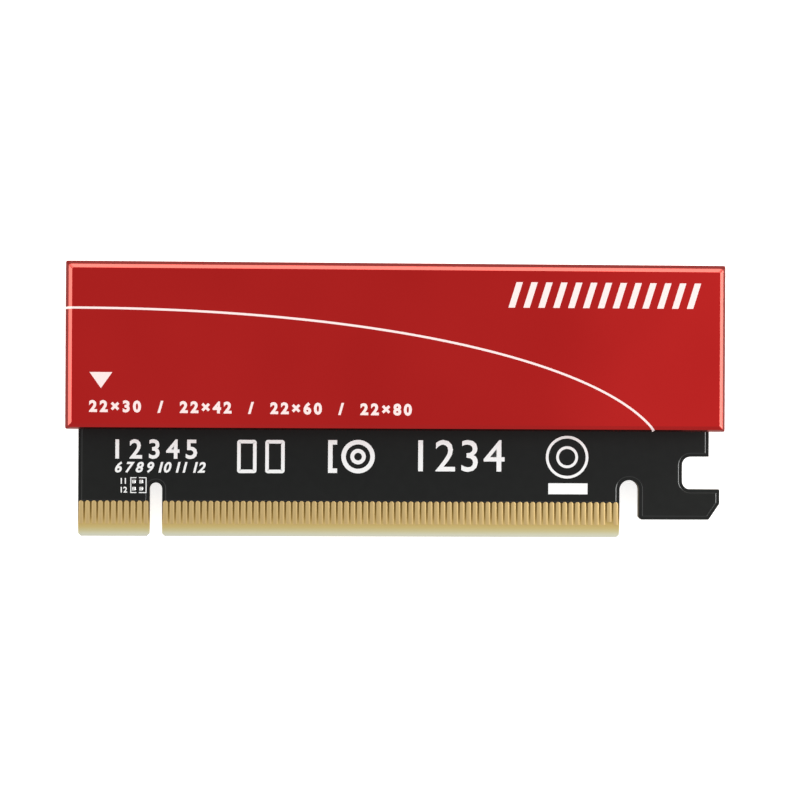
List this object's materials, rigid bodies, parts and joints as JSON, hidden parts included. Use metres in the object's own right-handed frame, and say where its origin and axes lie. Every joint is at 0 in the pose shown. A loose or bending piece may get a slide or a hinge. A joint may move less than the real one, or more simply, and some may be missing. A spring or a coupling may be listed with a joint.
{
  "type": "nvme adapter card",
  "caption": "Expansion card with a red aluminium clamshell cooler for one solid-state memory module, a gold card edge and a retention hook.",
  "frame": {"origin": "middle of the key notch, on the contact edge, at the board's solder side", "axes": "+X along the card edge towards the retention hook, +Y up the board away from the contacts, +Z through the board out of its component side"},
  "size_m": [0.1014, 0.0422, 0.0104],
  "materials": {
    "red_anodised": "satin red anodising",
    "board_black": "black solder mask on glass-epoxy laminate",
    "gold_plating": "gold plating",
    "socket_plastic": "black moulded plastic",
    "tinned_metal": "tinned sheet metal",
    "brass": "turned brass",
    "screw_steel": "nickel plated steel",
    "thermal_pad": "soft grey silicone pad",
    "ceramic_tan": "tan ceramic",
    "ceramic_black": "black glazed ceramic"
  },
  "bodies": {
    "root": {"front_cover": "red_anodised", "back_cover": "red_anodised", "circuit_board": "board_black", "edge_contacts_front": "gold_plating", "edge_contacts_back": "gold_plating", "m2_socket_housing": "socket_plastic", "m2_socket_contacts": "gold_plating", "m2_socket_anchor_lower": "tinned_metal", "m2_socket_anchor_upper": "tinned_metal", "m2_standoff": "brass", "m2_screw": "screw_steel", "thermal_pad_front": "thermal_pad", "thermal_pad_back": "thermal_pad", "cover_screw_1": "screw_steel", "cover_screw_2": "screw_steel", "cover_screw_3": "screw_steel", "cover_screw_4": "screw_steel", "capacitor_1": "ceramic_tan", "capacitor_2": "ceramic_tan", "capacitor_3": "ceramic_tan", "capacitor_4": "ceramic_tan", "capacitor_5": "ceramic_tan", "capacitor_6": "ceramic_tan", "resistor_1": "ceramic_black", "resistor_2": "ceramic_black"}
  },
  "joints": []
}
